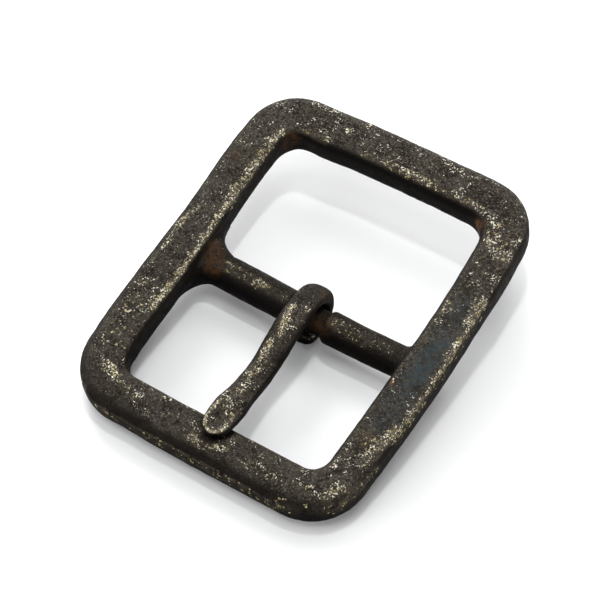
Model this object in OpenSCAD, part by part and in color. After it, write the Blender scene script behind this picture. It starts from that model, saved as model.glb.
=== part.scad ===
// Centre-bar belt buckle: a rounded rectangular frame with a round bar
// across it, and a curved tongue whose rear end is bent round the bar.
// It lies with its near end on the table, propped up by the tongue's eye.
// Millimetres. The origin is on the table, under the middle of the frame.
// X runs along the bar, Y towards the far end and Z up.

/* [Frame] */
// Clear width between the two side bars
clear_w = 40; // [36:0.5:42]
// Length of the frame from its near end to its far end
frame_l = 70; // [66:0.5:76]
// Width of the two side bars, seen from the front
side_w = 7.3; // [6.8:0.1:8.4]
// Width of the near and the far end, seen from the front
end_w = 7.9; // [6.8:0.1:8.4]
// Thickness of the frame
frame_t = 6.4; // [5.8:0.1:7]
// Rounding of the frame's long edges
edge_r = 2.1; // [1.6:0.1:2.4]
// Outer radius of the two near corners
near_outer_r = 11.1; // [9:0.1:12]
// Outer radius of the two far corners
far_outer_r = 10.2; // [9:0.1:12]
// Inner radius of the two near corners
near_inner_r = 3.3; // [2.4:0.1:5.2]
// Inner radius of the two far corners
far_inner_r = 4.8; // [2.4:0.1:5.2]

/* [Centre bar] */
// Radius of the centre bar
bar_r = 2.85; // [2.6:0.05:3]
// Distance of the bar from the frame's middle, towards the near end
bar_ahead = 1.4; // [0.6:0.1:2]
// Depth of the bar's axis below the middle of the frame's thickness
bar_drop = 2.1; // [1.6:0.1:2.2]
// How far the bar is out of square, right end towards the near end, in degrees
bar_skew = 1; // [0:0.1:1.2]
// Radius of the neck that the tongue turns on
neck_r = 2.3; // [2:0.1:2.4]
// Length of the neck
neck_l = 6.5; // [6.2:0.1:8]
// Place of the neck's middle along the bar
neck_x = 1.4; // [0.5:0.1:2]
// Radius of the fillets at the bar's left end
left_root_r = 4.5; // [2:0.1:4.8]
// Radius of the fillets at the bar's right end
right_root_r = 2.6; // [2:0.1:4.8]

/* [Tongue] */
// Place of the tongue's middle along the bar
tongue_x = 0.95; // [0.8:0.05:1.1]
// Width of the eye that is bent round the neck
eye_w = 4.7; // [4.2:0.1:5]
// Outer radius of the eye
eye_r = 5; // [4.85:0.05:5.2]
// Radius of the hole through the eye
hole_r = 2.7; // [2.65:0.05:2.85]
// Depth of the seat that the tip rests in
seat_depth = 1.5; // [1.4:0.1:1.8]

/* [Hidden] */
$fn = 96;

// An outline of the frame seen from the front: the outer one, then the windows' one
width = 0;
near_y = 1;
far_y = 2;
near_r = 3;
far_r = 4;
OUTER = [clear_w + 2 * side_w, -frame_l / 2, frame_l / 2, near_outer_r, far_outer_r];
INNER = [clear_w, end_w - frame_l / 2, frame_l / 2 - end_w, near_inner_r, far_inner_r];
// Width of the rounded edging that runs along each outline
edging_w = 2 * edge_r + 1.2;

// The shoulders beside the neck and the bar's domed ends
shoulder = 0.8;
bar_half = clear_w / 2 + 0.4;
dome_l = 4;
root_sink = 0.9;
root_dip = 0.2;
root_into = 1.8;
root_over = 0.15;
root_under = 0.1;

// The eye's parts, each a disc: [back from the axis, up from the axis, radius, rim's rounding]
EYE = [
    [ 0.65,  0.25, eye_r,       1.7],
    [-0.50,  0.00, eye_r - 0.4, 1.9],
    [ 1.35, -1.50, eye_r - 1.55, 0.9]
];
back = 0;
up = 1;
disc_r = 2;
rim_r = 3;
heel = EYE[2];
hole_up = 0.1;
// The eye is open between its free end and the underside of the arm
mouth_from = 150;
mouth_to = 192;

// The arm's middle line, from over the eye to the tip
// ahead of the axis, above the axis, half width, half thickness
ARM = [
    [-2.4, 3.00, 2.1, 1.0],
    [ 0.6, 4.55, 2.4, 1.5],
    [ 4.6, 4.65, 2.5, 1.8],
    [ 9.4, 3.65, 2.4, 1.8],
    [14.3, 2.95, 2.3, 1.8],
    [19.4, 3.95, 2.4, 1.8],
    [23.2, 5.05, 2.85, 1.5],
    [26.5, 5.65, 2.6, 1.35]
];
ahead = 0;
above = 1;
half_w = 2;
half_t = 3;
arm_steps = 4;
arm_sides = 24;
nose_l = 2.2;
nose_rings = 5;
// How square the arm's section is: 1 is an ellipse
arm_square = 0.8;

// The tip's seat is a hollow struck by a ball
seat_r = 5.8;
seat_y = INNER[near_y] - 0.5;

// The table touches the near end's lower edge and the eye's heel at once
prop_y = frame_l / 2 - edge_r - bar_ahead + heel[back];
prop_z = frame_t / 2 - edge_r - bar_drop + heel[up];
prop_reach = sqrt(prop_y * prop_y + prop_z * prop_z);
rest_tilt = asin((heel[disc_r] - edge_r) / prop_reach) - atan2(prop_z, prop_y);
rest_rise = (frame_l / 2 - edge_r) * sin(rest_tilt) + (frame_t / 2 - edge_r) * cos(rest_tilt) + edge_r;

// Puts a shape that is drawn about the frame's middle at its place on the table
module at_rest() {
    translate([0, 0, rest_rise]) rotate([rest_tilt, 0, 0]) children();
}

// Moves a shape that is drawn about the bar's axis to the bar
module on_bar() {
    translate([0, -bar_ahead, -bar_drop]) children();
}

// A rectangle with round corners, about the origin
module round_rect(w, h, r) {
    union() {
        square([w - 2 * r, h], center = true);
        square([w, h - 2 * r], center = true);
        for (x = [-1, 1], y = [-1, 1])
            translate([x * (w / 2 - r), y * (h / 2 - r)]) circle(r);
    }
}

// The area inside one of the frame's outlines, grown by the given amount
module area(outline, grow) {
    near_mid = outline[near_y] + outline[near_r];
    far_mid = outline[far_y] - outline[far_r];
    side = outline[width] / 2;
    union() {
        translate([-side - grow, near_mid]) square([2 * (side + grow), far_mid - near_mid]);
        translate([outline[near_r] - side, outline[near_y] - grow])
            square([2 * (side - outline[near_r]), frame_l / 2]);
        translate([outline[far_r] - side, outline[far_y] + grow - frame_l / 2])
            square([2 * (side - outline[far_r]), frame_l / 2]);
        for (x = [-1, 1]) {
            translate([x * (side - outline[near_r]), near_mid]) circle(outline[near_r] + grow);
            translate([x * (side - outline[far_r]), far_mid]) circle(outline[far_r] + grow);
        }
    }
}

// Runs a section along one of the frame's outlines, its X pointing outwards
module edging(outline) {
    near_mid = outline[near_y] + outline[near_r];
    far_mid = outline[far_y] - outline[far_r];
    side = outline[width] / 2;
    for (flip = [0, 1]) mirror([flip, 0, 0]) {
        translate([side, (near_mid + far_mid) / 2, 0]) rotate([90, 0, 0])
            linear_extrude(far_mid - near_mid, center = true) children();
        translate([side - outline[near_r], near_mid, 0]) rotate([0, 0, -90])
            rotate_extrude(angle = 90) translate([outline[near_r], 0]) children();
        translate([side - outline[far_r], far_mid, 0])
            rotate_extrude(angle = 90) translate([outline[far_r], 0]) children();
    }
    translate([0, outline[near_y], 0]) rotate([90, 0, -90])
        linear_extrude(2 * (side - outline[near_r]), center = true) children();
    translate([0, outline[far_y], 0]) rotate([90, 0, 90])
        linear_extrude(2 * (side - outline[far_r]), center = true) children();
}

// The closed rounded rectangle: a flat plate between two rounded edgings
module rim() {
    union() {
        linear_extrude(frame_t, center = true) difference() {
            area(OUTER, -edge_r);
            area(INNER, edge_r);
        }
        edging(OUTER) translate([-edging_w / 2, 0]) round_rect(edging_w, frame_t, edge_r);
        edging(INNER) translate([edging_w / 2, 0]) round_rect(edging_w, frame_t, edge_r);
    }
}

// Half of the bar's outline on one side of the neck: [radius, place along the bar]
function bar_outline(neck_end, side) = concat(
    [
        [neck_r, neck_end],
        [neck_r + 0.7 * (bar_r - neck_r), neck_end + side * 0.2 * shoulder],
        [bar_r, neck_end + side * shoulder]
    ],
    [for (turn = [0 : 15 : 90]) [bar_r * cos(turn), side * (bar_half + dome_l * sin(turn))]]
);

// The round bar with its neck, turned in one piece
module bar() {
    right = bar_outline(neck_x + neck_l / 2, 1);
    left = bar_outline(neck_x - neck_l / 2, -1);
    last = len(left) - 1;
    rotate([0, 90, 0]) rotate_extrude()
        polygon(concat(right, [for (i = [0 : last]) left[last - i]]));
}

// The fillet round one end of the bar, kept within the frame's thickness
module bar_root(side, root_r) {
    wall = clear_w / 2 + root_sink;
    centre_r = bar_r - root_dip + root_r;
    low = bar_drop - frame_t / 2 + root_under;
    high = bar_r + root_over;
    intersection() {
        mirror([side < 0 ? 1 : 0, 0, 0]) rotate([0, 90, 0]) rotate_extrude() difference() {
            translate([0, wall - root_r]) square([centre_r, root_r + root_into]);
            translate([centre_r, wall - root_r]) circle(root_r);
        }
        translate([side * wall, 0, (low + high) / 2])
            cube([4 * root_r, 4 * centre_r, high - low], center = true);
    }
}

// The frame: rim and bar in one casting, with the seat for the tongue's tip
module frame() {
    color("dimgray") at_rest() difference() {
        union() {
            rim();
            on_bar() rotate([0, 0, -bar_skew]) {
                bar();
                bar_root(1, right_root_r);
                bar_root(-1, left_root_r);
            }
        }
        translate([tongue_x, seat_y, frame_t / 2 - seat_depth + seat_r]) sphere(seat_r);
    }
}

// A row of the arm's table at place i plus the fraction f, on a smooth curve
function clamped(i) = ARM[min(max(i, 0), len(ARM) - 1)];
function arm_row(i, f) =
    let (a = clamped(i - 1), b = clamped(i), c = clamped(i + 1), d = clamped(i + 2))
    b + 0.5 * f * (c - a + f * (2 * a - 5 * b + 4 * c - d + f * (3 * b - a - 3 * c + d)));

// All rows along the arm, then the nose that closes the tip
arm_rows = concat(
    [for (i = [0 : len(ARM) - 2], k = [0 : arm_steps - 1]) arm_row(i, k / arm_steps)],
    [ARM[len(ARM) - 1]]
);
tip = ARM[len(ARM) - 1];
tip_from = arm_rows[len(arm_rows) - 2];
tip_run = [tip[ahead] - tip_from[ahead], tip[above] - tip_from[above]];
tip_dir = tip_run / norm(tip_run);
nose_rows = [for (k = [1 : nose_rings]) let (turn = 84 * k / nose_rings) [
    tip[ahead] + tip_dir[ahead] * nose_l * sin(turn),
    tip[above] + tip_dir[above] * nose_l * sin(turn),
    tip[half_w] * cos(turn),
    tip[half_t] * cos(turn)
]];
rows = concat(arm_rows, nose_rows);

// One point of a rounded section, between an ellipse and a rectangle
function section_point(turn, w, t) =
    let (c = cos(turn), s = sin(turn))
    [w * sign(c) * pow(abs(c), arm_square), t * sign(s) * pow(abs(s), arm_square)];

// One ring of points round the arm, square to its middle line
function arm_ring(n) =
    let (
        row = rows[n],
        a = rows[max(n - 1, 0)],
        b = rows[min(n + 1, len(rows) - 1)],
        run = [b[ahead] - a[ahead], b[above] - a[above]],
        dir = run / norm(run)
    )
    [for (k = [0 : arm_sides - 1])
        let (p = section_point(360 * (k + 0.5) / arm_sides, row[half_w], row[half_t]))
        [p[0], dir[above] * p[1] - row[ahead], row[above] + dir[ahead] * p[1]]];

// The arm swept along its middle line
module arm() {
    count = len(rows);
    polyhedron(
        points = [for (n = [0 : count - 1]) each arm_ring(n)],
        faces = concat(
            [[for (k = [0 : arm_sides - 1]) k]],
            [for (n = [0 : count - 2], k = [0 : arm_sides - 1])
                let (a = n * arm_sides + k, b = n * arm_sides + (k + 1) % arm_sides)
                each [[a, a + arm_sides, b], [b, a + arm_sides, b + arm_sides]]],
            [[for (k = [0 : arm_sides - 1]) count * arm_sides - 1 - k]]
        )
    );
}

// Turns a flat shape, whose X is the radius, round an axis along the bar
module round_bar_axis() {
    rotate([0, 90, 0]) rotate_extrude() children();
}

// One round disc of the eye, with rounded rims
module eye_disc(part) {
    translate([0, part[back], part[up]]) round_bar_axis() intersection() {
        round_rect(2 * part[disc_r], eye_w, part[rim_r]);
        translate([0, -eye_w]) square([2 * part[disc_r], 2 * eye_w]);
    }
}

// The open part of the eye, a wedge that looks ahead
module eye_mouth() {
    reach = 3 * eye_r;
    rotate([90, 0, 90]) linear_extrude(2 * eye_w, center = true) polygon([
        [0, hole_up],
        reach * [cos(mouth_from), sin(mouth_from)],
        reach * [cos(mouth_to), sin(mouth_to)]
    ]);
}

// The tongue: the arm and the eye that is bent round the neck
module tongue() {
    color("gray") at_rest() on_bar() translate([tongue_x, 0, 0]) difference() {
        union() {
            difference() {
                union() for (part = EYE) eye_disc(part);
                eye_mouth();
            }
            arm();
        }
        translate([0, 0, hole_up]) rotate([0, 90, 0])
            cylinder(r = hole_r, h = 2 * eye_w, center = true);
    }
}

frame();
tongue();
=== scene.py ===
# A centre-bar belt buckle of dark cast metal, worn pale along its edges,
# lying on a pale table in soft studio light.
import math
import bpy
import numpy as np
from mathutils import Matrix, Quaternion, Vector, noise


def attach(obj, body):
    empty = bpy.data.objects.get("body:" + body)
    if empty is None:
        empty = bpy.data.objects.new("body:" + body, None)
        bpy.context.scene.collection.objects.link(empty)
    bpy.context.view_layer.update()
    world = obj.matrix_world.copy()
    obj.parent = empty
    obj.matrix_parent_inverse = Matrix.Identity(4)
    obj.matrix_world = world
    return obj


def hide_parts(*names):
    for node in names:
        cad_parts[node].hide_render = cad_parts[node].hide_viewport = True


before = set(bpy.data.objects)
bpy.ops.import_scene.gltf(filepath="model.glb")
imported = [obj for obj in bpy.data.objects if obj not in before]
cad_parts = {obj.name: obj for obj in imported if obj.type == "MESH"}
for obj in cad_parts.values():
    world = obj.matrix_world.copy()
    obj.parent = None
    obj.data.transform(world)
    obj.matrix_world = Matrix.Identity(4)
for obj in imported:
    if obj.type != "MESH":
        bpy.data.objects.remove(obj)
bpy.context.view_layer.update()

# A millimetre, in metres
MM = 0.001

# Sizes of the buckle, in millimetres, about the middle of its frame
CLEAR_W = 40.0
FRAME_L = 70.0
SIDE_W = 7.3
END_W = 7.9
FRAME_T = 6.4
EDGE_R = 2.1
NEAR_OUTER_R = 11.1
FAR_OUTER_R = 10.2
NEAR_INNER_R = 3.3
FAR_INNER_R = 4.8
BAR_R = 2.96
BAR_AHEAD = 1.4
BAR_DROP = 2.1
NECK_R = 2.3
NECK_FROM = -1.85
NECK_TO = 4.65
TONGUE_X = 0.95
SEAT_DEPTH = 1.5
SEAT_R = 5.8
SEAT_OUT = 0.5
SEAT_Y = END_W - FRAME_L / 2 - SEAT_OUT

# The eye's heel, where it stands on the table: back from the bar's axis, up from it, radius
HEEL_BACK = 1.35
HEEL_UP = -1.5
HEEL_R = 3.45

# The table touches the near end's lower edge and the heel at once
prop_y = FRAME_L / 2 - EDGE_R - BAR_AHEAD + HEEL_BACK
prop_z = FRAME_T / 2 - EDGE_R - BAR_DROP + HEEL_UP
TILT = math.asin((HEEL_R - EDGE_R) / math.hypot(prop_y, prop_z)) - math.atan2(prop_z, prop_y)
RISE = (FRAME_L / 2 - EDGE_R) * math.sin(TILT) + (FRAME_T / 2 - EDGE_R) * math.cos(TILT) + EDGE_R

# Smaller than any length here, so that nothing is divided by zero
TINY = 1e-9


def at_rest(points):
    """Places drawn about the frame's middle, in millimetres, as they lie on the table, in metres."""
    x, y, z = points[:, 0], points[:, 1], points[:, 2]
    c, s = math.cos(TILT), math.sin(TILT)
    return np.stack([x, y * c - z * s, y * s + z * c + RISE], 1) * MM


def smooth_step(value, low, high):
    t = np.clip((value - low) / (high - low), 0, 1)
    return t * t * (3 - 2 * t)


def soft_min(a, b, blend):
    """The smaller of two heights, with the corner between them rounded."""
    h = np.clip(0.5 + 0.5 * (b - a) / blend, 0, 1)
    return b + (a - b) * h - blend * h * (1 - h)


def curve(a, b, c, d, share):
    """The point at a share of the way from b to c, on a smooth curve through all four."""
    bend = 2 * a - 5 * b + 4 * c - d + share * (3 * b - a - 3 * c + d)
    return b + 0.5 * share * (c - a + share * bend)


def vertices_of(piece):
    flat = np.empty(len(piece.data.vertices) * 3)
    piece.data.vertices.foreach_get("co", flat)
    return flat.reshape(-1, 3)


def move_vertices(piece, places):
    piece.data.vertices.foreach_set("co", places.ravel())
    piece.data.update()


def select_only(piece):
    bpy.ops.object.select_all(action="DESELECT")
    piece.select_set(True)
    bpy.context.view_layer.objects.active = piece


def finish_modifier(piece, kind, **settings):
    """Adds a modifier with the given settings and applies it."""
    select_only(piece)
    bpy.ops.object.modifier_add(type=kind)
    modifier = piece.modifiers[-1]
    for name, value in settings.items():
        setattr(modifier, name, value)
    bpy.ops.object.modifier_apply(modifier=modifier.name)


# Rim

# Share of the way round at which each stretch of an outline ends, starting half way up the right side:
# the straight sides and ends, and the corners between them
STRETCHES = (0.15, 0.20, 0.30, 0.35, 0.65, 0.70, 0.80, 0.85, 1.0)
# How many sections the rim is drawn with, the points in each, and the radius of the ring that it starts as
RUN_STEPS = 800
SECTION_STEPS = 72
TORUS_R = 10.0

# How far the hand-finished edges stray outwards from the drawn outlines, at even steps round the rim
OUTER_STRAY = (
    0.68, 0.62, 0.50, 0.45, 0.45, 0.22, -0.12, 0.12, 0.22, 0.20,
    0.17, 0.00, -0.38, 0.28, 0.55, 0.72, 0.75, 0.60, 0.45, 0.40,
    0.43, 0.52, 0.62, 0.68, 0.67, 0.58, 0.42, 0.36, -0.28, 0.00,
    0.08, 0.08, 0.10, 0.36, -0.12, 0.08, 0.32, 0.48, 0.56, 0.62,
)
INNER_STRAY = (
    0.50, 0.60, 0.60, 0.55, 0.45, 0.20, 0.02, -0.12, -0.12, -0.05,
    -0.08, -0.26, -0.74, 0.06, 0.38, 0.55, 0.48, 0.34, 0.10, -0.15,
    -0.15, -0.15, -0.15, -0.10, -0.04, -0.05, -0.25, -0.38, -0.10, -0.05,
    0.00, 0.00, 0.00, 0.05, -0.05, 0.12, 0.26, 0.36, 0.42, 0.46,
)


def round_table(table, share):
    """A value at a share of the way round, on a smooth closed curve through the table."""
    at = (share % 1.0) * len(table)
    a, b, c, d = (table[(int(at) + step) % len(table)] for step in (-1, 0, 1, 2))
    return curve(a, b, c, d, at % 1.0)


def outline(share, half_w, near_y, far_y, near_r, far_r):
    """The point of a rounded rectangle at a share of the way round."""
    near_mid, far_mid = near_y + near_r, far_y - far_r
    mid = (near_mid + far_mid) / 2
    marks = np.array((0.0,) + STRETCHES)
    k = min(int(np.searchsorted(marks, share, side="right")), len(STRETCHES)) - 1
    t = (share - marks[k]) / (marks[k + 1] - marks[k])
    turn = t * math.pi / 2
    if k == 0:
        return half_w, mid + (far_mid - mid) * t
    if k == 1:
        return half_w - far_r + far_r * math.cos(turn), far_mid + far_r * math.sin(turn)
    if k == 2:
        return (half_w - far_r) * (1 - 2 * t), far_y
    if k == 3:
        return far_r - half_w - far_r * math.sin(turn), far_mid + far_r * math.cos(turn)
    if k == 4:
        return -half_w, far_mid + (near_mid - far_mid) * t
    if k == 5:
        return near_r - half_w - near_r * math.cos(turn), near_mid - near_r * math.sin(turn)
    if k == 6:
        return (half_w - near_r) * (2 * t - 1), near_y
    if k == 7:
        return half_w - near_r + near_r * math.sin(turn), near_mid - near_r * math.cos(turn)
    return half_w, near_mid + (mid - near_mid) * t


# How square the rim's upper edges are, at even steps round it, and its lower edges all round: 2 is round
OUTER_TOP = (
    7.0, 7.0, 6.0, 4.2, 3.6, 3.4, 3.4, 3.4, 3.4, 3.4,
    3.4, 3.4, 3.0, 2.6, 2.3, 2.2, 2.3, 3.0, 5.5, 7.0,
)
INNER_TOP = (
    4.0, 4.0, 4.0, 3.8, 3.6, 3.8, 4.6, 6.5, 9.0, 9.0,
    9.0, 9.0, 6.0, 4.4, 3.8, 3.4, 3.4, 3.6, 4.0, 4.0,
)
BOTTOM = 3.6
# The fine ridge along the outer wall, below the top face's rounded shoulder:
# how far it stands out, at even steps round the rim, its height on the wall and its breadth
LIP = (
    0.0, 0.0, 0.0, 0.0, 0.0, 0.0, 0.0, 0.0, 0.0, 0.0,
    0.0, 0.0, 0.1, 0.22, 0.25, 0.25, 0.25, 0.2, 0.1, 0.0,
)
LIP_Z = 1.7
LIP_BREADTH = 0.4


def make_rim():
    """A ring pulled out to the rounded rectangle of the frame."""
    bpy.ops.mesh.primitive_torus_add(
        major_segments=RUN_STEPS, minor_segments=SECTION_STEPS, major_radius=TORUS_R, minor_radius=1.0)
    piece = bpy.context.object
    half = CLEAR_W / 2
    outer_sizes = (half + SIDE_W, -FRAME_L / 2, FRAME_L / 2, NEAR_OUTER_R, FAR_OUTER_R)
    inner_sizes = (half, END_W - FRAME_L / 2, FRAME_L / 2 - END_W, NEAR_INNER_R, FAR_INNER_R)
    shares = [n / RUN_STEPS for n in range(RUN_STEPS)]
    outer = np.array([outline(share, *outer_sizes) for share in shares])
    inner = np.array([outline(share, *inner_sizes) for share in shares])
    outer_stray, inner_stray, outer_top, inner_top, lip = (
        np.array([round_table(table, share) for share in shares])
        for table in (OUTER_STRAY, INNER_STRAY, OUTER_TOP, INNER_TOP, LIP))
    way = (outer - inner) / np.linalg.norm(outer - inner, axis=1)[:, None]
    outer += way * outer_stray[:, None]
    inner += way * inner_stray[:, None]

    x, y, z = vertices_of(piece).T
    ring = np.rint(np.arctan2(y, x) / (2 * math.pi) * RUN_STEPS).astype(int) % RUN_STEPS
    turn = np.arctan2(z, np.hypot(x, y) - TORUS_R)
    c, s = np.cos(turn), np.sin(turn)
    square = np.where(s > 0, np.where(c > 0, outer_top[ring], inner_top[ring]), BOTTOM)
    across = np.sign(c) * np.abs(c) ** (2 / square)
    height = FRAME_T / 2 * np.sign(s) * np.abs(s) ** (2 / square)
    stands_out = lip[ring] * np.exp(-(((height - LIP_Z) / LIP_BREADTH) ** 2)) * (c > 0)
    level = (outer[ring] + inner[ring]) / 2 + (outer[ring] - inner[ring]) / 2 * across[:, None]
    level += way[ring] * stands_out[:, None]
    move_vertices(piece, np.column_stack([level, height]))
    return piece


# Bar

BAR_RINGS = 240
BAR_SIDES = 64
BAR_HALF = 24.2
DOME_L = 3.0
SHOULDER = 0.8
# How much the bar's radius shrinks with each millimetre to the right, and the stretch where it does
BAR_THINNER = 0.0065
THINNER_FROM = -8
THINNER_TO = 20
# The bar's slight bow: how far its middle line lies from straight, as a cubic of the place along it
BAR_BOW = (3.75e-5, 6.0e-4, -0.0229, 0.005)

# The roots, where the bar flares into the side bars: each wall's place along the bar, each flare's radius,
# how much larger the left one is where it faces the far end, and where that starts and is full,
# on a scale of -1 for facing the near end to 1 for facing the far end
LEFT_WALL = 21.5
RIGHT_WALL = 21.1
LEFT_ROOT_R = 5.6
RIGHT_ROOT_R = 2.9
LEFT_ROOT_FAR = 1.6
FAR_FROM = -0.2
FAR_FULL = 0.8
# How far each flare starts inside the bar, and the flat limits above and below that it is cut to
ROOT_DIP = 0.2
ROOT_HIGH = 3.2
ROOT_LOW = 3.0
ROOT_BLEND = 0.6


def bar_radius(x, far):
    """The bar's radius at a place along it, where its skin faces the far end (1) or the near end (-1)."""
    neck = smooth_step(x, NECK_FROM - SHOULDER, NECK_FROM) * (1 - smooth_step(x, NECK_TO, NECK_TO + SHOULDER))
    thick = BAR_R - BAR_THINNER * np.clip(x, THINNER_FROM, THINNER_TO)
    radius = thick + (NECK_R - thick) * neck
    left_root_r = LEFT_ROOT_R + LEFT_ROOT_FAR * smooth_step(far, FAR_FROM, FAR_FULL)
    root_r = np.where(x > 0, RIGHT_ROOT_R, left_root_r)
    wall = np.where(x > 0, RIGHT_WALL, LEFT_WALL)
    into = np.clip(np.abs(x) - (wall - root_r), 0, root_r)
    flare = root_r - np.sqrt(root_r**2 - into**2) - ROOT_DIP * smooth_step(into, 0, 1)
    flare = np.maximum(flare, 0)
    end = np.clip((np.abs(x) - (BAR_HALF - DOME_L)) / DOME_L, 0, 1)
    return (radius + flare) * np.sqrt(1 - end**2)


def make_bar():
    """A ball drawn out along X to the round bar, with its neck, shoulders and roots."""
    bpy.ops.mesh.primitive_uv_sphere_add(segments=BAR_SIDES, ring_count=BAR_RINGS, radius=1.0)
    piece = bpy.context.object
    ball = vertices_of(piece)
    polar = np.arccos(np.clip(ball[:, 2], -1, 1)) / math.pi
    x = BAR_HALF * (1 - 2 * polar)
    around = np.maximum(np.hypot(ball[:, 0], ball[:, 1]), TINY)
    level, up = ball[:, 0] / around, ball[:, 1] / around
    radius = bar_radius(x, level)
    y = radius * level + np.polyval(BAR_BOW, x) - BAR_AHEAD
    height = soft_min(radius * up, ROOT_HIGH, ROOT_BLEND)
    height = -soft_min(-height, ROOT_LOW, ROOT_BLEND)
    move_vertices(piece, np.stack([x, y, height - BAR_DROP], 1))
    return piece


# Fusing, casting skin and masks

# Points closer than this are one
SAME_PLACE = 1e-5
# The share of a stroke's radius that it fills evenly, before it fades
STROKE_CORE = 0.25
# How far out the seat is struck, as a share of its ball's radius, and the rounding of its edge
SEAT_REACH = 0.98
SEAT_BLEND = 0.35
# How far each wave of noise is shifted from the last, so that their patterns don't line up
WAVE_SHIFT = (17.3, 9.1, 5.7)
# The way that the sides painted brightest are turned, and the way that those painted in deepest shade are,
# and how squarely a side must be turned to it to be a little so, and fully so
LIT_WAY = np.array((0.10, 0.33, 0.94))
LIT_FROM = 0.50
LIT_FULL = 0.95
DEEP_SHADE_WAY = np.array((-0.10, -0.98, -0.17))
DEEP_SHADE_FROM = 0.25
DEEP_SHADE_FULL = 0.80


def fuse(pieces, name, voxel):
    """Joins overlapping shells into one closed skin of even faces."""
    select_only(pieces[0])
    for piece in pieces:
        piece.select_set(True)
    if len(pieces) > 1:
        bpy.ops.object.join()
    whole = bpy.context.object
    whole.name = name
    bpy.ops.object.mode_set(mode="EDIT")
    bpy.ops.mesh.select_all(action="SELECT")
    bpy.ops.mesh.remove_doubles(threshold=SAME_PLACE)
    bpy.ops.mesh.normals_make_consistent(inside=False)
    bpy.ops.object.mode_set(mode="OBJECT")
    finish_modifier(whole, "REMESH", mode="VOXEL", voxel_size=voxel, use_smooth_shade=True)
    return whole


def edges_of(piece):
    flat = np.empty(len(piece.data.edges) * 2, dtype=np.int64)
    piece.data.edges.foreach_get("vertices", flat)
    return flat.reshape(-1, 2)


def spread(values, edges, rounds):
    """Averages values over neighbouring vertices, again and again."""
    count = np.bincount(edges.ravel(), minlength=len(values)).astype(float)
    count = count[:, None] if values.ndim > 1 else count
    for _ in range(rounds):
        total = np.zeros_like(values)
        np.add.at(total, edges[:, 0], values[edges[:, 1]])
        np.add.at(total, edges[:, 1], values[edges[:, 0]])
        values = 0.5 * values + 0.5 * total / count
    return values


def charted(places, strokes):
    """How much of each vertex lies in the given strokes: (start, end, radius, amount)."""
    amount = np.zeros(len(places))
    for start, end, radius, most in strokes:
        start, end = np.array(start), np.array(end)
        run = end - start
        t = np.clip((places - start) @ run / max(run @ run, TINY), 0, 1)
        off = np.linalg.norm(places - start - t[:, None] * run, axis=1)
        amount = np.maximum(amount, most * (1 - smooth_step(off, radius * STROKE_CORE, radius)))
    return amount


def soften(piece, strokes, rounds):
    """Smooths the skin where the given strokes lie, so that what meets there flows together."""
    places = vertices_of(piece)
    edges = edges_of(piece)
    amount = charted(places, strokes)[:, None]
    move_vertices(piece, places + (spread(places, edges, rounds) - places) * amount)


def strike_seat(piece):
    """The hollow in the near end that the tongue's tip rests in."""
    places = vertices_of(piece)
    off = np.hypot(places[:, 0] - TONGUE_X, places[:, 1] - SEAT_Y)
    ball = FRAME_T / 2 - SEAT_DEPTH + SEAT_R - np.sqrt(np.maximum(SEAT_R**2 - off**2, 0))
    struck = (off < SEAT_R * SEAT_REACH) & (places[:, 2] > 0)
    places[struck, 2] = soft_min(places[struck, 2], ball[struck], SEAT_BLEND)
    move_vertices(piece, places)


def normals_of(piece):
    flat = np.empty(len(piece.data.vertices) * 3)
    piece.data.vertex_normals.foreach_get("vector", flat)
    return flat.reshape(-1, 3)


def uneven(piece, waves):
    """Moves the skin in and out by low waves of noise: (size of a wave, height), in millimetres."""
    places = vertices_of(piece)
    push = np.zeros(len(places))
    for number, (size, height) in enumerate(waves):
        shift = Vector([number * part for part in WAVE_SHIFT])
        push += height * np.array([noise.noise(Vector(p) / size + shift) for p in places])
    move_vertices(piece, places + normals_of(piece) * push[:, None])


def write_mask(piece, name, values):
    mask = piece.data.attributes.new(name, "FLOAT", "POINT")
    mask.data.foreach_set("value", np.clip(values, 0, 1).astype(np.float32))


def write_masks(piece, worn, rust, blued, shaded, rounds, full_ridge):
    """Keeps on the skin, for the finish to follow, where it stands out or lies back, how it is worn, and
    where light and shade are to be painted.
    """
    places = vertices_of(piece)
    normals = normals_of(piece)
    out = ((places - spread(places, edges_of(piece), rounds)) * normals).sum(1)
    facing_lamps = smooth_step(normals @ LIT_WAY, LIT_FROM, LIT_FULL)
    write_mask(piece, "ridge", out / full_ridge)
    write_mask(piece, "hollow", -out / full_ridge)
    # Painted light and shade: how squarely each side is turned to the lamps, less where the shaded strokes
    # lie
    write_mask(piece, "lit_face", facing_lamps * (1 - charted(places, shaded)))
    # Deeper painted shade on the sides turned to the near end
    write_mask(piece, "deep_shade", smooth_step(normals @ DEEP_SHADE_WAY, DEEP_SHADE_FROM, DEEP_SHADE_FULL))
    write_mask(piece, "worn", charted(places, worn))
    write_mask(piece, "rust", charted(places, rust))
    write_mask(piece, "blued", charted(places, blued))


# Tongue

ROD_RINGS = 360
ROD_SIDES = 56
# How square the rod's section is: 1 is an ellipse
ROD_SQUARE = 0.85
# The lengths over which the rod rounds off, at its tip and at its free end
TIP_NOSE = 2.4
END_NOSE = 1.3
# How finely the middle line's curve is worked out between two rows
CURVE_STEPS = 40

# The arm's middle line, from the tip to over the eye:
# ahead of the bar's axis, above it, half width, half thickness
ARM = (
    (29.2, 6.05, 2.35, 1.25),
    (26.8, 5.70, 2.65, 1.35),
    (23.2, 5.05, 2.90, 1.50),
    (19.4, 3.95, 2.45, 1.75),
    (14.3, 2.95, 2.35, 1.80),
    (9.4, 3.65, 2.45, 1.80),
    (4.6, 4.65, 2.50, 1.75),
    (0.9, 4.60, 2.45, 1.50),
)
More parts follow.
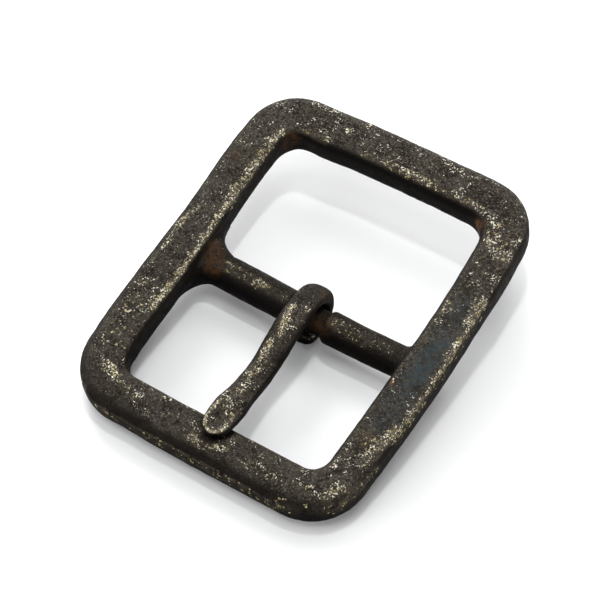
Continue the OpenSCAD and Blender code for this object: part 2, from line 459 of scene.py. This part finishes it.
# The eye's middle line, on round the bar to the free end:
# degrees from straight back, turning up; distance from the axis; half width; half thickness
EYE = (
    (66, 4.25, 2.40, 1.40),
    (38, 4.15, 2.38, 1.42),
    (8, 4.20, 2.35, 1.45),
    (-25, 4.10, 2.35, 1.42),
    (-58, 4.00, 2.35, 1.30),
    (-92, 3.75, 2.35, 1.05),
    (-130, 3.80, 2.35, 1.05),
    (-160, 3.90, 2.30, 1.00),
)
# The flat facet on top of the tip: its height over the middle line at the tip's end, how that rises
# along the rod, and the rounding of its edge
FACET_LOW = 0.55
FACET_RISE = 0.13
FACET_BLEND = 0.12
# The dish in the facet: its middle's distance from the tip, its half length, its depth, and how far out it
# reaches, as a share of that length and of the rod's half width
DISH_AT = 3.2
DISH_L = 3.8
DISH_DEPTH = 0.30
DISH_REACH = 0.85


def tongue_rows():
    """Every row of the rod's middle line: y and z from the bar's axis, half width, half thickness."""
    rows = [(-ahead, above, half_w, half_t) for ahead, above, half_w, half_t in ARM]
    for degrees, distance, half_w, half_t in EYE:
        turn = math.radians(degrees)
        rows.append((distance * math.cos(turn), distance * math.sin(turn), half_w, half_t))
    return np.array(rows)


def along(rows, steps):
    """A smooth curve through the rows, cut into steps of even length."""
    padded = np.vstack([2 * rows[0] - rows[1], rows, 2 * rows[-1] - rows[-2]])
    fine = []
    for k in range(1, len(padded) - 2):
        for share in np.linspace(0, 1, CURVE_STEPS, endpoint=False):
            fine.append(curve(*padded[k - 1 : k + 3], share))
    fine.append(padded[-2])
    fine = np.array(fine)
    run = np.concatenate([[0], np.cumsum(np.hypot(*np.diff(fine[:, :2], axis=0).T))])
    even = np.linspace(0, run[-1], steps)
    return np.stack([np.interp(even, run, fine[:, k]) for k in range(4)], 1), even


def make_tongue():
    """A ball drawn out into a rod along the tongue's middle line and bent round the bar."""
    bpy.ops.mesh.primitive_uv_sphere_add(segments=ROD_SIDES, ring_count=ROD_RINGS, radius=1.0)
    piece = bpy.context.object
    ball = vertices_of(piece)
    line, even = along(tongue_rows(), ROD_RINGS + 1)
    run = np.gradient(line[:, :2], axis=0)
    run /= np.linalg.norm(run, axis=1)[:, None]
    ring = np.rint(np.arccos(np.clip(ball[:, 2], -1, 1)) / math.pi * ROD_RINGS).astype(int)
    at, way = line[ring], run[ring]
    from_tip, from_end = even[ring], even[-1] - even[ring]
    nose = np.sqrt(1 - np.clip(1 - from_tip / TIP_NOSE, 0, 1) ** 2)
    nose *= np.sqrt(1 - np.clip(1 - from_end / END_NOSE, 0, 1) ** 2)
    turn = np.arctan2(ball[:, 1], ball[:, 0])
    c, s = np.cos(turn), np.sin(turn)
    off = np.hypot((from_tip - DISH_AT) / DISH_L, c * nose)
    dish = DISH_DEPTH * (1 - smooth_step(off, 0.0, DISH_REACH))
    across = np.sign(c) * np.abs(c) ** ROD_SQUARE * at[:, 2] * nose
    out = np.sign(s) * np.abs(s) ** ROD_SQUARE * at[:, 3] * nose
    facet = FACET_LOW + FACET_RISE * from_tip
    out = np.where(s > 0, soft_min(out, facet, FACET_BLEND) - dish, out)
    places = np.stack([
        TONGUE_X + across,
        at[:, 0] - way[:, 1] * out - BAR_AHEAD,
        at[:, 1] + way[:, 0] * out - BAR_DROP,
    ], 1)
    move_vertices(piece, places)
    return piece


# Where the skin is marked

# Strokes where the metal is worn, rusty or blued, or where shade is painted, in millimetres about the frame's
# middle:
# start, end, radius, amount
FRAME_WORN = (
    ((-21.3, 25.0, 2.8), (-21.1, 8.0, 2.8), 1.6, 0.72),
    ((-21.1, 8.0, 3.0), (-20.7, -6.0, 2.8), 0.8, 0.95),
    ((-20.7, -6.0, 2.7), (-21.0, -15.0, 2.8), 1.1, 0.90),
    ((-25.2, 6.0, 3.1), (-26.2, 0.5, 3.0), 1.2, 0.65),
    ((-26.0, 0.0, 3.0), (-26.0, -7.5, 3.0), 0.8, 0.50),
    ((-24.0, -14.0, 3.2), (-22.5, -24.0, 3.2), 3.4, 0.30),
    ((-21.6, -28.0, 3.2), (-18.4, -29.3, 3.2), 1.6, 0.74),
    ((-18.0, -29.5, 3.2), (-13.5, -30.4, 3.2), 1.4, 0.55),
    ((-16.0, -35.0, 1.8), (12.0, -35.0, 1.6), 0.6, 0.45),
    ((-19.0, -35.0, 0.6), (16.0, -35.0, 0.4), 1.8, 0.46),
    ((16.0, -34.8, 0.8), (25.4, -30.2, 1.0), 2.0, 0.54),
    ((25.4, -30.2, 1.2), (27.4, -22.0, 1.2), 1.6, 0.50),
    ((-26.6, -25.0, 1.2), (-22.6, -32.6, 1.0), 1.8, 0.52),
    ((-1.5, -32.2, 3.2), (0.5, -32.9, 3.2), 1.2, 0.75),
    ((0.5, -32.9, 3.2), (4.6, -31.2, 3.0), 0.8, 0.65),
    ((9.0, -31.6, 3.2), (15.0, -31.6, 3.2), 2.0, 0.34),
    ((20.0, -30.5, 3.2), (20.6, -30.8, 3.2), 1.1, 0.65),
    ((24.4, -27.8, 3.2), (23.0, -31.0, 3.1), 1.2, 0.65),
    ((26.6, -15.0, 3.0), (25.0, -22.5, 3.2), 1.7, 0.66),
    ((27.3, 13.0, 2.5), (27.5, -16.0, 2.5), 0.95, 0.85),
    ((27.7, 11.0, 1.3), (27.9, -16.0, 1.3), 0.9, 0.50),
    ((26.4, 12.5, 2.9), (26.6, 8.5, 2.9), 1.3, 0.85),
    ((27.0, 5.0, 2.9), (27.0, 0.0, 2.9), 0.8, 0.65),
    ((23.5, -18.5, 3.2), (23.6, -19.5, 3.2), 0.9, 0.60),
    ((21.7, -7.4, 3.2), (21.7, -7.6, 3.2), 0.4, 1.00),
    ((22.4, 9.5, 3.2), (22.2, 5.5, 3.2), 1.2, 0.50),
    ((24.4, 6.6, 3.2), (24.4, 6.0, 3.2), 0.8, 0.70),
    ((22.5, 26.5, 3.2), (24.5, 22.0, 3.2), 3.8, 0.50),
    ((-6.0, 28.4, 3.0), (18.0, 28.4, 3.1), 1.2, 0.50),
    ((2.0, 28.6, 3.1), (8.0, 28.5, 3.1), 1.1, 0.65),
    ((-10.6, 30.9, 3.2), (-10.2, 30.9, 3.2), 0.8, 0.60),
    ((-13.0, 27.6, 2.9), (-19.0, 27.6, 3.0), 1.2, 0.40),
    ((-9.2, -1.2, 0.8), (-7.0, -1.2, 0.8), 1.2, 0.90),
    ((-16.0, -0.5, 0.8), (-10.2, -0.7, 0.8), 0.6, 0.72),
    ((-14.5, -1.6, 0.8), (-3.5, -1.6, 0.8), 1.2, 0.40),
    ((6.5, -1.4, 0.8), (17.5, -1.4, 0.8), 1.5, 0.42),
    ((7.5, -2.6, 0.4), (13.0, -2.6, 0.4), 1.0, 0.42),
)
FRAME_RUST = (
    ((-18.8, 0.4, 0.9), (-17.4, -2.2, 0.6), 2.7, 0.62),
    ((-18.8, 25.8, 1.8), (-19.6, 25.0, 0.5), 2.2, 0.32),
    ((18.6, 26.0, 1.6), (19.2, 25.4, 0.0), 1.8, 0.90),
    ((2.6, -2.0, 0.0), (5.4, -2.6, 0.2), 2.4, 0.42),
    ((-25.3, 17.0, 3.2), (-25.0, 17.6, 3.2), 1.6, 0.35),
    ((23.4, -18.0, 3.2), (23.6, -19.0, 3.2), 1.3, 0.50),
    ((21.7, -7.4, 3.2), (21.7, -7.6, 3.2), 0.7, 1.00),
)
FRAME_BLUED = (
    ((25.0, 2.2, 3.2), (24.7, -6.5, 3.2), 3.0, 0.80),
    ((25.0, 10.0, 3.2), (24.4, -15.0, 3.2), 3.6, 0.42),
)
# Painted shade, taken out of the lit faces: on the bar, a little on the left and near faces, and at the near
# left corner
FRAME_SHADED = (
    ((-19.0, -1.2, 0.4), (19.0, -1.6, 0.4), 4.2, 0.68),
    ((-24.0, 14.0, 3.2), (-24.0, -26.0, 3.2), 9.0, 0.15),
    ((-20.0, -31.0, 3.2), (14.0, -31.0, 3.2), 9.0, 0.15),
    # The painted shadow under the tongue's tip
    ((0.95, -29.0, 2.4), (0.95, -31.0, 2.6), 2.8, 0.80),
    ((-22.0, -29.0, 2.6), (-15.0, -33.6, 2.6), 3.0, 0.40),
)
TONGUE_WORN = (
    ((0.1, -4.0, 4.4), (0.9, -9.0, 4.0), 1.3, 0.85),
    ((0.1, -11.0, 3.2), (0.9, -16.0, 2.9), 1.2, 0.92),
    ((0.9, -16.0, 2.9), (0.9, -22.0, 3.9), 1.0, 0.55),
    ((0.3, -23.5, 4.2), (1.8, -26.0, 4.4), 1.0, 0.62),
    ((2.5, -1.5, 4.2), (2.6, -10.5, 3.0), 1.1, 0.34),
    ((2.5, -14.0, 2.0), (2.7, -22.0, 3.2), 1.0, 0.30),
    ((2.6, -26.0, 4.4), (2.4, -29.0, 4.4), 0.8, 0.90),
    ((-0.7, -24.3, 4.2), (-1.2, -27.4, 4.4), 0.45, 0.85),
    ((-1.2, -27.4, 4.4), (-0.7, -29.5, 4.5), 0.45, 0.90),
    ((-0.7, -29.5, 4.5), (0.9, -30.4, 4.4), 0.45, 0.90),
    ((0.9, -30.4, 4.4), (2.4, -29.7, 4.5), 0.45, 0.90),
    ((0.4, -28.0, 4.2), (1.0, -29.4, 4.2), 0.9, 0.50),
)
TONGUE_RUST = (
    ((3.3, -5.0, 0.8), (3.3, -3.4, -0.4), 1.6, 0.50),
    ((3.2, 2.6, 0.8), (3.2, 1.6, 2.0), 1.6, 0.35),
)
# Painted shade on the tongue: over the eye's back, down the arm's right side, and in the tip's dish
TONGUE_SHADED = (
    ((0.95, 3.6, 0.0), (0.95, -1.0, 3.6), 3.6, 0.55),
    ((2.9, -4.0, 3.0), (2.9, -22.0, 3.0), 1.8, 0.45),
    ((1.0, -24.5, 4.2), (1.0, -28.5, 4.2), 1.8, 0.30),
)

# The pieces

# Strokes where the bar's roots flow into the rim: start, end, radius, amount
FRAME_ROOTS = (
    ((-20.6, 5.5, -1.0), (-20.6, -8.5, -1.0), 3.2, 1.0),
    ((20.2, 2.0, -1.0), (20.2, -5.5, -1.0), 1.8, 0.8),
)
# Low waves in the skin: size of a wave, height
FRAME_WAVES = ((7.0, 0.05), (2.4, 0.045), (1.0, 0.03))
TONGUE_WAVES = ((4.0, 0.05), (1.6, 0.04), (0.8, 0.03))
# Size of the faces of each skin
FRAME_VOXEL = 0.28
TONGUE_VOXEL = 0.16
# How many rounds of averaging flatten each skin, and how far a full ridge stands out from that
FRAME_ROUNDS = 44
TONGUE_ROUNDS = 60
FRAME_RIDGE = 0.5
TONGUE_RIDGE = 0.3

frame_piece = fuse([make_rim(), make_bar()], "frame_casting", FRAME_VOXEL)
finish_modifier(frame_piece, "SMOOTH", factor=0.5, iterations=2)
soften(frame_piece, FRAME_ROOTS, FRAME_ROUNDS)
strike_seat(frame_piece)
uneven(frame_piece, FRAME_WAVES)
write_masks(frame_piece, FRAME_WORN, FRAME_RUST, FRAME_BLUED, FRAME_SHADED, FRAME_ROUNDS, FRAME_RIDGE)

tongue_piece = fuse([make_tongue()], "tongue_rod", TONGUE_VOXEL)
finish_modifier(tongue_piece, "SMOOTH", factor=0.5, iterations=3)
uneven(tongue_piece, TONGUE_WAVES)
write_masks(tongue_piece, TONGUE_WORN, TONGUE_RUST, (), TONGUE_SHADED, TONGUE_ROUNDS, TONGUE_RIDGE)

for piece, body, node, slot in (
    (frame_piece, "frame", "frame", "frame_metal"),
    (tongue_piece, "tongue", "tongue", "tongue_metal"),
):
    move_vertices(piece, at_rest(vertices_of(piece)))
    select_only(piece)
    bpy.ops.object.shade_smooth()
    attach(piece, body)
    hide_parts(node)

# Finish


def new_group(name, inputs, output):
    """An empty node group with float or vector inputs and one float output, and its inner ends."""
    tree = bpy.data.node_groups.new(name, "ShaderNodeTree")
    for socket, default in inputs:
        kind = "NodeSocketVector" if default is None else "NodeSocketFloat"
        made = tree.interface.new_socket(name=socket, in_out="INPUT", socket_type=kind)
        if default is not None:
            made.default_value = default
    tree.interface.new_socket(name=output, in_out="OUTPUT", socket_type="NodeSocketFloat")
    return tree, tree.nodes.new("NodeGroupInput").outputs, tree.nodes.new("NodeGroupOutput").inputs[output]


def feed(tree, socket, value):
    """Links another node's output to a socket, or sets the socket to a plain value."""
    if isinstance(value, bpy.types.NodeSocket):
        tree.links.new(value, socket)
    else:
        socket.default_value = value


def add_node(tree, kind, settings=None, **inputs):
    """A node with its settings, and with its sockets fed by name."""
    node = tree.nodes.new(kind)
    for name, value in (settings or {}).items():
        setattr(node, name, value)
    for name, value in inputs.items():
        feed(tree, node.inputs[name.replace("_", " ")], value)
    return node


def add_math(tree, operation, *values):
    node = add_node(tree, "ShaderNodeMath", {"operation": operation})
    for socket, value in zip(node.inputs, values):
        feed(tree, socket, value)
    return node.outputs[0]


def fade(tree, value, low, high):
    """Rises smoothly from 0 to 1 as the value goes from the low to the high level."""
    node = add_node(tree, "ShaderNodeMapRange", {"interpolation_type": "SMOOTHSTEP"},
                    Value=value, From_Min=low, From_Max=high)
    return node.outputs["Result"]


def mix_colour(tree, amount, under, over):
    node = add_node(tree, "ShaderNodeMix", {"data_type": "RGBA"})
    feed(tree, node.inputs[0], amount)
    feed(tree, node.inputs[6], under)
    feed(tree, node.inputs[7], over)
    return node.outputs[2]


def make_cloud_group():
    """Soft patches of noise between two levels."""
    tree, given, amount = new_group(
        "clouds", (("Vector", None), ("Scale", 500.0), ("From", 0.4), ("To", 0.6)), "Amount")
    cloud = add_node(
        tree, "ShaderNodeTexNoise", Vector=given["Vector"], Scale=given["Scale"], Detail=4.0, Roughness=0.6)
    tree.links.new(fade(tree, cloud.outputs["Fac"], given["From"], given["To"]), amount)
    return tree


# The level of noise above which specks show where their share is 0, and how it falls as the share grows
SPECK_LEVEL = 0.80
SPECK_FALL = -0.42


def make_speck_group():
    """Small ragged specks that cover about the given share of the surface."""
    tree, given, mask = new_group(
        "specks", (("Vector", None), ("Scale", 3500.0), ("Share", 0.2), ("Softness", 0.08)), "Mask")
    grain = add_node(
        tree, "ShaderNodeTexNoise", Vector=given["Vector"], Scale=given["Scale"],
        Detail=2.5, Roughness=0.65, Distortion=0.3)
    low = add_math(tree, "MULTIPLY_ADD", given["Share"], SPECK_FALL, SPECK_LEVEL)
    high = add_math(tree, "ADD", low, given["Softness"])
    tree.links.new(fade(tree, grain.outputs["Fac"], low, high), mask)
    return tree


# The noise that bends the flakes' edges: how fine it is, and how far it pushes them, in metres
RIPPLE_SCALE = 2600.0
RIPPLE_PUSH = 0.0005
# How much the cracks between flakes differ in width, and how soft their sides are
CRACK_SPREAD = 0.12
CRACK_SOFTNESS = 0.05


def make_flake_group():
    """Flakes with cracks between them: a share of the surface's cells, each drawn in from its edges."""
    tree, given, mask = new_group(
        "flakes", (("Vector", None), ("Scale", 1800.0), ("Share", 0.2), ("Crack", 0.07)), "Mask")
    ripple = add_node(tree, "ShaderNodeTexNoise", Vector=given["Vector"], Scale=RIPPLE_SCALE, Detail=2.0)
    bent = add_node(tree, "ShaderNodeVectorMath", {"operation": "MULTIPLY_ADD"})
    for socket, value in zip(bent.inputs, (ripple.outputs["Color"], (RIPPLE_PUSH,) * 3, given["Vector"])):
        feed(tree, socket, value)
    cells = add_node(tree, "ShaderNodeTexVoronoi", Vector=bent.outputs[0], Scale=given["Scale"])
    edges = add_node(tree, "ShaderNodeTexVoronoi", {"feature": "DISTANCE_TO_EDGE"},
                     Vector=bent.outputs[0], Scale=given["Scale"])
    chance = add_node(tree, "ShaderNodeSeparateColor", Color=cells.outputs["Color"])
    there = add_math(tree, "LESS_THAN", chance.outputs["Red"], given["Share"])
    low = add_math(tree, "MULTIPLY_ADD", chance.outputs["Green"], CRACK_SPREAD, given["Crack"])
    high = add_math(tree, "ADD", low, CRACK_SOFTNESS)
    inside = fade(tree, edges.outputs["Distance"], low, high)
    tree.links.new(add_math(tree, "MULTIPLY", inside, there), mask)
    return tree


CLOUDS = make_cloud_group()
SPECKS = make_speck_group()
FLAKES = make_flake_group()


def place_group(tree, group, **inputs):
    return add_node(tree, "ShaderNodeGroup", {"node_tree": group}, **inputs).outputs[0]


# The darks: near-black for the pits and for painted shade, with darker hollows; a deeper black for painted
# shade on the sides turned to the near end
PITS_AND_SHADE = (0.0050, 0.0039, 0.0031, 1)
DEEP_SHADE = (0.0012, 0.0009, 0.0007, 1)
EARTH = (0.0145, 0.0116, 0.0089, 1)
UMBER = (0.039, 0.033, 0.027, 1)
OLIVE = (0.037, 0.0335, 0.023, 1)
SAND = (0.122, 0.109, 0.090, 1)
STEEL_BLUE = (0.030, 0.042, 0.047, 1)
RUST = (0.066, 0.033, 0.015, 1)
BURNISH_AND_HIGHLIGHT = (0.17, 0.145, 0.105, 1)
SALT = (0.68, 0.635, 0.51, 1)
PALE_BRASS = (0.39, 0.34, 0.18, 1)
OCHRE = (0.26, 0.19, 0.07, 1)

# Patches and grains of noise: how fine they are, and the two levels that they rise between
UMBER_PATCHES = (260.0, 0.38, 0.62)
OLIVE_PATCHES = (430.0, 0.50, 0.70)
BLUE_PATCHES = (700.0, 0.30, 0.60)
SAND_GRAINS = (3300.0, 0.49, 0.70)
PITS = (1600.0, 0.47, 0.66)
RUST_PATCHES = (900.0, 0.30, 0.62)
BURNISH_PATCHES = (1300.0, 0.34, 0.58)
SALT_CLUSTERS = (480.0, 0.46, 0.62)
FLAKE_CLUSTERS = (1000.0, 0.42, 0.60)
FLAKE_GRAINS = (4200.0, 0.40, 0.54)
OCHRE_PATCHES = (800.0, 0.45, 0.68)

# How strongly the dark layers cover what is under them (the pits, the painted shade with the darker hollows,
# and the deeper painted shade), and how that changes where the metal is blued
PITS_COVER = 0.85
PITS_WHERE_BLUED = -0.6
SHADE_AND_HOLLOWS_COVER = 0.96
DEEP_SHADE_COVERS = 0.85
# How strongly crests are burnished where they are worn, and how strongly crests on the lit faces get a
# painted highlight
BURNISH_WHERE_WORN = 1.1
HIGHLIGHT_ON_LIT_FACES = 0.15

# Salt: how fine and soft its specks are, and how its share of the surface changes from place to place,
# thinner on the walls in painted shade
SALT_SCALE = 3100.0
SALT_SOFTNESS = 0.045
SALT_IN_CLUSTERS = 0.32
SALT_ON_LIT_FACES = 0.80
SALT_ON_SHADED_WALLS = 0.20
SALT_WHERE_WORN = 0.35
SALT_WHERE_BLUED = -0.30
SALT_MOST = 0.60
# Flakes: how fine they are, how wide the cracks between them, and how their share changes in clusters
FLAKE_SCALE = 2000.0
FLAKE_CRACK = 0.06
FLAKES_IN_CLUSTERS = 0.85
FLAKES_BETWEEN = -0.50

# How metallic the bare specks are, and how far they stand up in the relief
BARE_METALLIC = 0.25
BARE_HEIGHT = 0.25
ROUGHNESS = 0.46
ROUGHER_IN_PATCHES = 0.14
SPECULAR = 0.02
RELIEF_SCALE = 1900.0
RELIEF_DEPTH = 0.00014
RELIEF_STRENGTH = 0.75


def make_patina(name, salt_share, salt_on_crests):
    """Dark aged metal: clouded brown-black, sandy, with pale specks where it is worn, and with painted shade
    on the sides turned from the lamps and a painted highlight on lit crests.
    """
    material = bpy.data.materials.new(name)
    material.use_nodes = True
    tree = material.node_tree
    shader = tree.nodes["Principled BSDF"]
    at = tree.nodes.new("ShaderNodeTexCoord").outputs["Object"]

    def mask(attribute):
        return add_node(tree, "ShaderNodeAttribute", {"attribute_name": attribute}).outputs["Fac"]

    def clouds(scale, low, high):
        return place_group(tree, CLOUDS, Vector=at, Scale=scale, From=low, To=high)

    def times(a, b):
        return add_math(tree, "MULTIPLY", a, b)

    def times_plus(a, b, more):
        return add_math(tree, "MULTIPLY_ADD", a, b, more)

    def larger(a, b):
        return add_math(tree, "MAXIMUM", a, b)

    def rest_of(a):
        return add_math(tree, "SUBTRACT", 1.0, a)

    def paint(amount, over):
        nonlocal colour
        colour = mix_colour(tree, amount, colour, over)

    ridge, hollow, lit_face, deep_shade, worn, rust, blued = (
        mask(part) for part in ("ridge", "hollow", "lit_face", "deep_shade", "worn", "rust", "blued"))

    # The ground: brown-black, greener and sandier in patches, with painted shade on the walls and darker
    # hollows
    colour = EARTH
    paint(clouds(*UMBER_PATCHES), UMBER)
    paint(clouds(*OLIVE_PATCHES), OLIVE)
    patch = clouds(*BLUE_PATCHES)
    paint(times(blued, patch), STEEL_BLUE)
    paint(times(clouds(*SAND_GRAINS), rest_of(blued)), SAND)
    pits = times(clouds(*PITS), times_plus(blued, PITS_WHERE_BLUED, PITS_COVER))
    # Painted shade where the sides turn from the lamps or the shaded strokes lie, and darker in the hollows
    shaded = times(larger(rest_of(lit_face), hollow), SHADE_AND_HOLLOWS_COVER)
    paint(larger(pits, shaded), PITS_AND_SHADE)
    # Deeper painted shade on the sides turned to the near end
    paint(times(deep_shade, DEEP_SHADE_COVERS), DEEP_SHADE)
    paint(times(rust, clouds(*RUST_PATCHES)), RUST)

    # Crests that hands have burnished, and a painted highlight on the crests of the lit faces
    burnish_and_highlight = times_plus(worn, BURNISH_WHERE_WORN, times(lit_face, HIGHLIGHT_ON_LIT_FACES))
    paint(times(times(ridge, burnish_and_highlight), clouds(*BURNISH_PATCHES)), BURNISH_AND_HIGHLIGHT)

    # Fine salt in clusters, thicker along crests and on the lit faces, thinner on the walls in painted shade
    share = times_plus(clouds(*SALT_CLUSTERS), SALT_IN_CLUSTERS, salt_share)
    share = times_plus(ridge, salt_on_crests, share)
    share = times(share, times_plus(lit_face, SALT_ON_LIT_FACES, SALT_ON_SHADED_WALLS))
    share = times_plus(worn, SALT_WHERE_WORN, share)
    share = times_plus(blued, SALT_WHERE_BLUED, share)
    share = add_math(tree, "MINIMUM", share, SALT_MOST)
    salt = place_group(tree, SPECKS, Vector=at, Scale=SALT_SCALE, Share=share, Softness=SALT_SOFTNESS)
    paint(salt, SALT)

    # Broken flakes in the worn places
    clustered = times_plus(clouds(*FLAKE_CLUSTERS), FLAKES_IN_CLUSTERS, FLAKES_BETWEEN)
    share = times(worn, add_math(tree, "ADD", worn, clustered))
    flakes = place_group(tree, FLAKES, Vector=at, Scale=FLAKE_SCALE, Share=share, Crack=FLAKE_CRACK)
    flakes = times(flakes, clouds(*FLAKE_GRAINS))
    paint(flakes, mix_colour(tree, clouds(*OCHRE_PATCHES), PALE_BRASS, OCHRE))
    tree.links.new(colour, shader.inputs["Base Color"])

    bare = larger(salt, flakes)
    tree.links.new(times(bare, BARE_METALLIC), shader.inputs["Metallic"])
    tree.links.new(times_plus(patch, ROUGHER_IN_PATCHES, ROUGHNESS), shader.inputs["Roughness"])
    shader.inputs["Specular IOR Level"].default_value = SPECULAR

    # The cast skin's fine relief
    relief = add_node(
        tree, "ShaderNodeTexNoise", Vector=at, Scale=RELIEF_SCALE, Detail=4.0, Roughness=0.65)
    height = times_plus(bare, BARE_HEIGHT, relief.outputs["Fac"])
    bump = add_node(
        tree, "ShaderNodeBump", Strength=RELIEF_STRENGTH, Distance=RELIEF_DEPTH, Height=height)
    tree.links.new(bump.outputs["Normal"], shader.inputs["Normal"])
    return material


for piece, finish in (
    (frame_piece, make_patina("frame_patina", salt_share=0.19, salt_on_crests=0.30)),
    (tongue_piece, make_patina("tongue_patina", salt_share=0.20, salt_on_crests=0.34)),
):
    piece.data.materials.clear()
    piece.data.materials.append(finish)

# Table, light and camera

TABLE_SIZE = 6.0
TABLE_WHITE = (0.86, 0.865, 0.87, 1)
TABLE_ROUGHNESS = 0.7


def make_table():
    bpy.ops.mesh.primitive_plane_add(size=TABLE_SIZE)
    table = bpy.context.object
    table.name = "table"
    material = bpy.data.materials.new("pale_table")
    material.use_nodes = True
    shader = material.node_tree.nodes["Principled BSDF"]
    shader.inputs["Base Color"].default_value = TABLE_WHITE
    shader.inputs["Roughness"].default_value = TABLE_ROUGHNESS
    table.data.materials.append(material)


def add_area_light(name, around, up, away, size, power):
    """A round lamp in the given direction, facing the buckle."""
    around, up = math.radians(around), math.radians(up)
    towards = Vector((math.cos(around) * math.cos(up), math.sin(around) * math.cos(up), math.sin(up)))
    bpy.ops.object.light_add(type="AREA")
    lamp = bpy.context.object
    lamp.name = name
    lamp.data.shape = "DISK"
    lamp.data.size = size
    lamp.data.energy = power
    lamp.location = towards * away
    lamp.rotation_euler = towards.to_track_quat("Z", "Y").to_euler()


# The lamps: name, degrees round from +X and up from the table, distance, diameter, power.
# The crisp one is small, and gives the shadow inside the far window its clear edge.
LAMPS = (
    ("back_left_low", 135, 25, 2.0, 1.1, 26.6),
    ("back_left_high", 135, 45, 2.0, 1.1, 10.0),
    ("left", 180, 25, 2.0, 1.1, 6.4),
    ("front_left", 225, 25, 2.0, 1.1, 9.3),
    ("back", 90, 45, 2.0, 1.1, 9.8),
    ("overhead", 0, 90, 2.0, 1.0, 7.6),
    ("overhead_left", 207, 71.5, 2.0, 1.0, 6.6),
    ("crisp", 112.3, 75.6, 0.826, 0.07, 1.55),
)
# The glow all round: how high above the horizon it starts and ends, and its strength
GLOW_LOW = 0.02
GLOW_HIGH = 0.20
GLOW = 9.4


def light_scene():
    """Soft lamps, mostly behind on the left, one small crisp lamp, and a low glow all round."""
    world = bpy.data.worlds.new("studio")
    world.use_nodes = True
    tree = world.node_tree
    split = tree.nodes.new("ShaderNodeSeparateXYZ")
    tree.links.new(tree.nodes.new("ShaderNodeTexCoord").outputs["Generated"], split.inputs[0])
    low = add_math(tree, "GREATER_THAN", split.outputs["Z"], GLOW_LOW)
    high = add_math(tree, "LESS_THAN", split.outputs["Z"], GLOW_HIGH)
    band = add_math(tree, "MULTIPLY", low, high)
    tree.links.new(add_math(tree, "MULTIPLY", band, GLOW), tree.nodes["Background"].inputs["Strength"])
    tree.nodes["Background"].inputs["Color"].default_value = (1, 1, 1, 1)
    bpy.context.scene.world = world
    for lamp in LAMPS:
        add_area_light(*lamp)


# The camera: its place and what it aims at, in metres, its roll, its lens and sensor, in millimetres,
# and the nearest that it sees, in metres
CAMERA_AT = Vector((0.14697, -0.20702, 0.35898))
CAMERA_AIM = Vector((-0.00105, -0.00039, 0.0070))
CAMERA_ROLL = math.radians(-3.5)
CAMERA_LENS = 154.6
CAMERA_SENSOR = 36.0
CAMERA_SEES_FROM = 0.01


def place_camera():
    bpy.ops.object.camera_add(location=CAMERA_AT)
    camera = bpy.context.object
    camera.data.lens = CAMERA_LENS
    camera.data.sensor_width = CAMERA_SENSOR
    turn = (CAMERA_AIM - CAMERA_AT).to_track_quat("-Z", "Y")
    camera.rotation_euler = (turn @ Quaternion((0, 0, 1), CAMERA_ROLL)).to_euler()
    camera.data.clip_start = CAMERA_SEES_FROM
    bpy.context.scene.camera = camera


make_table()
light_scene()
place_camera()
bpy.context.scene.view_settings.view_transform = "Standard"
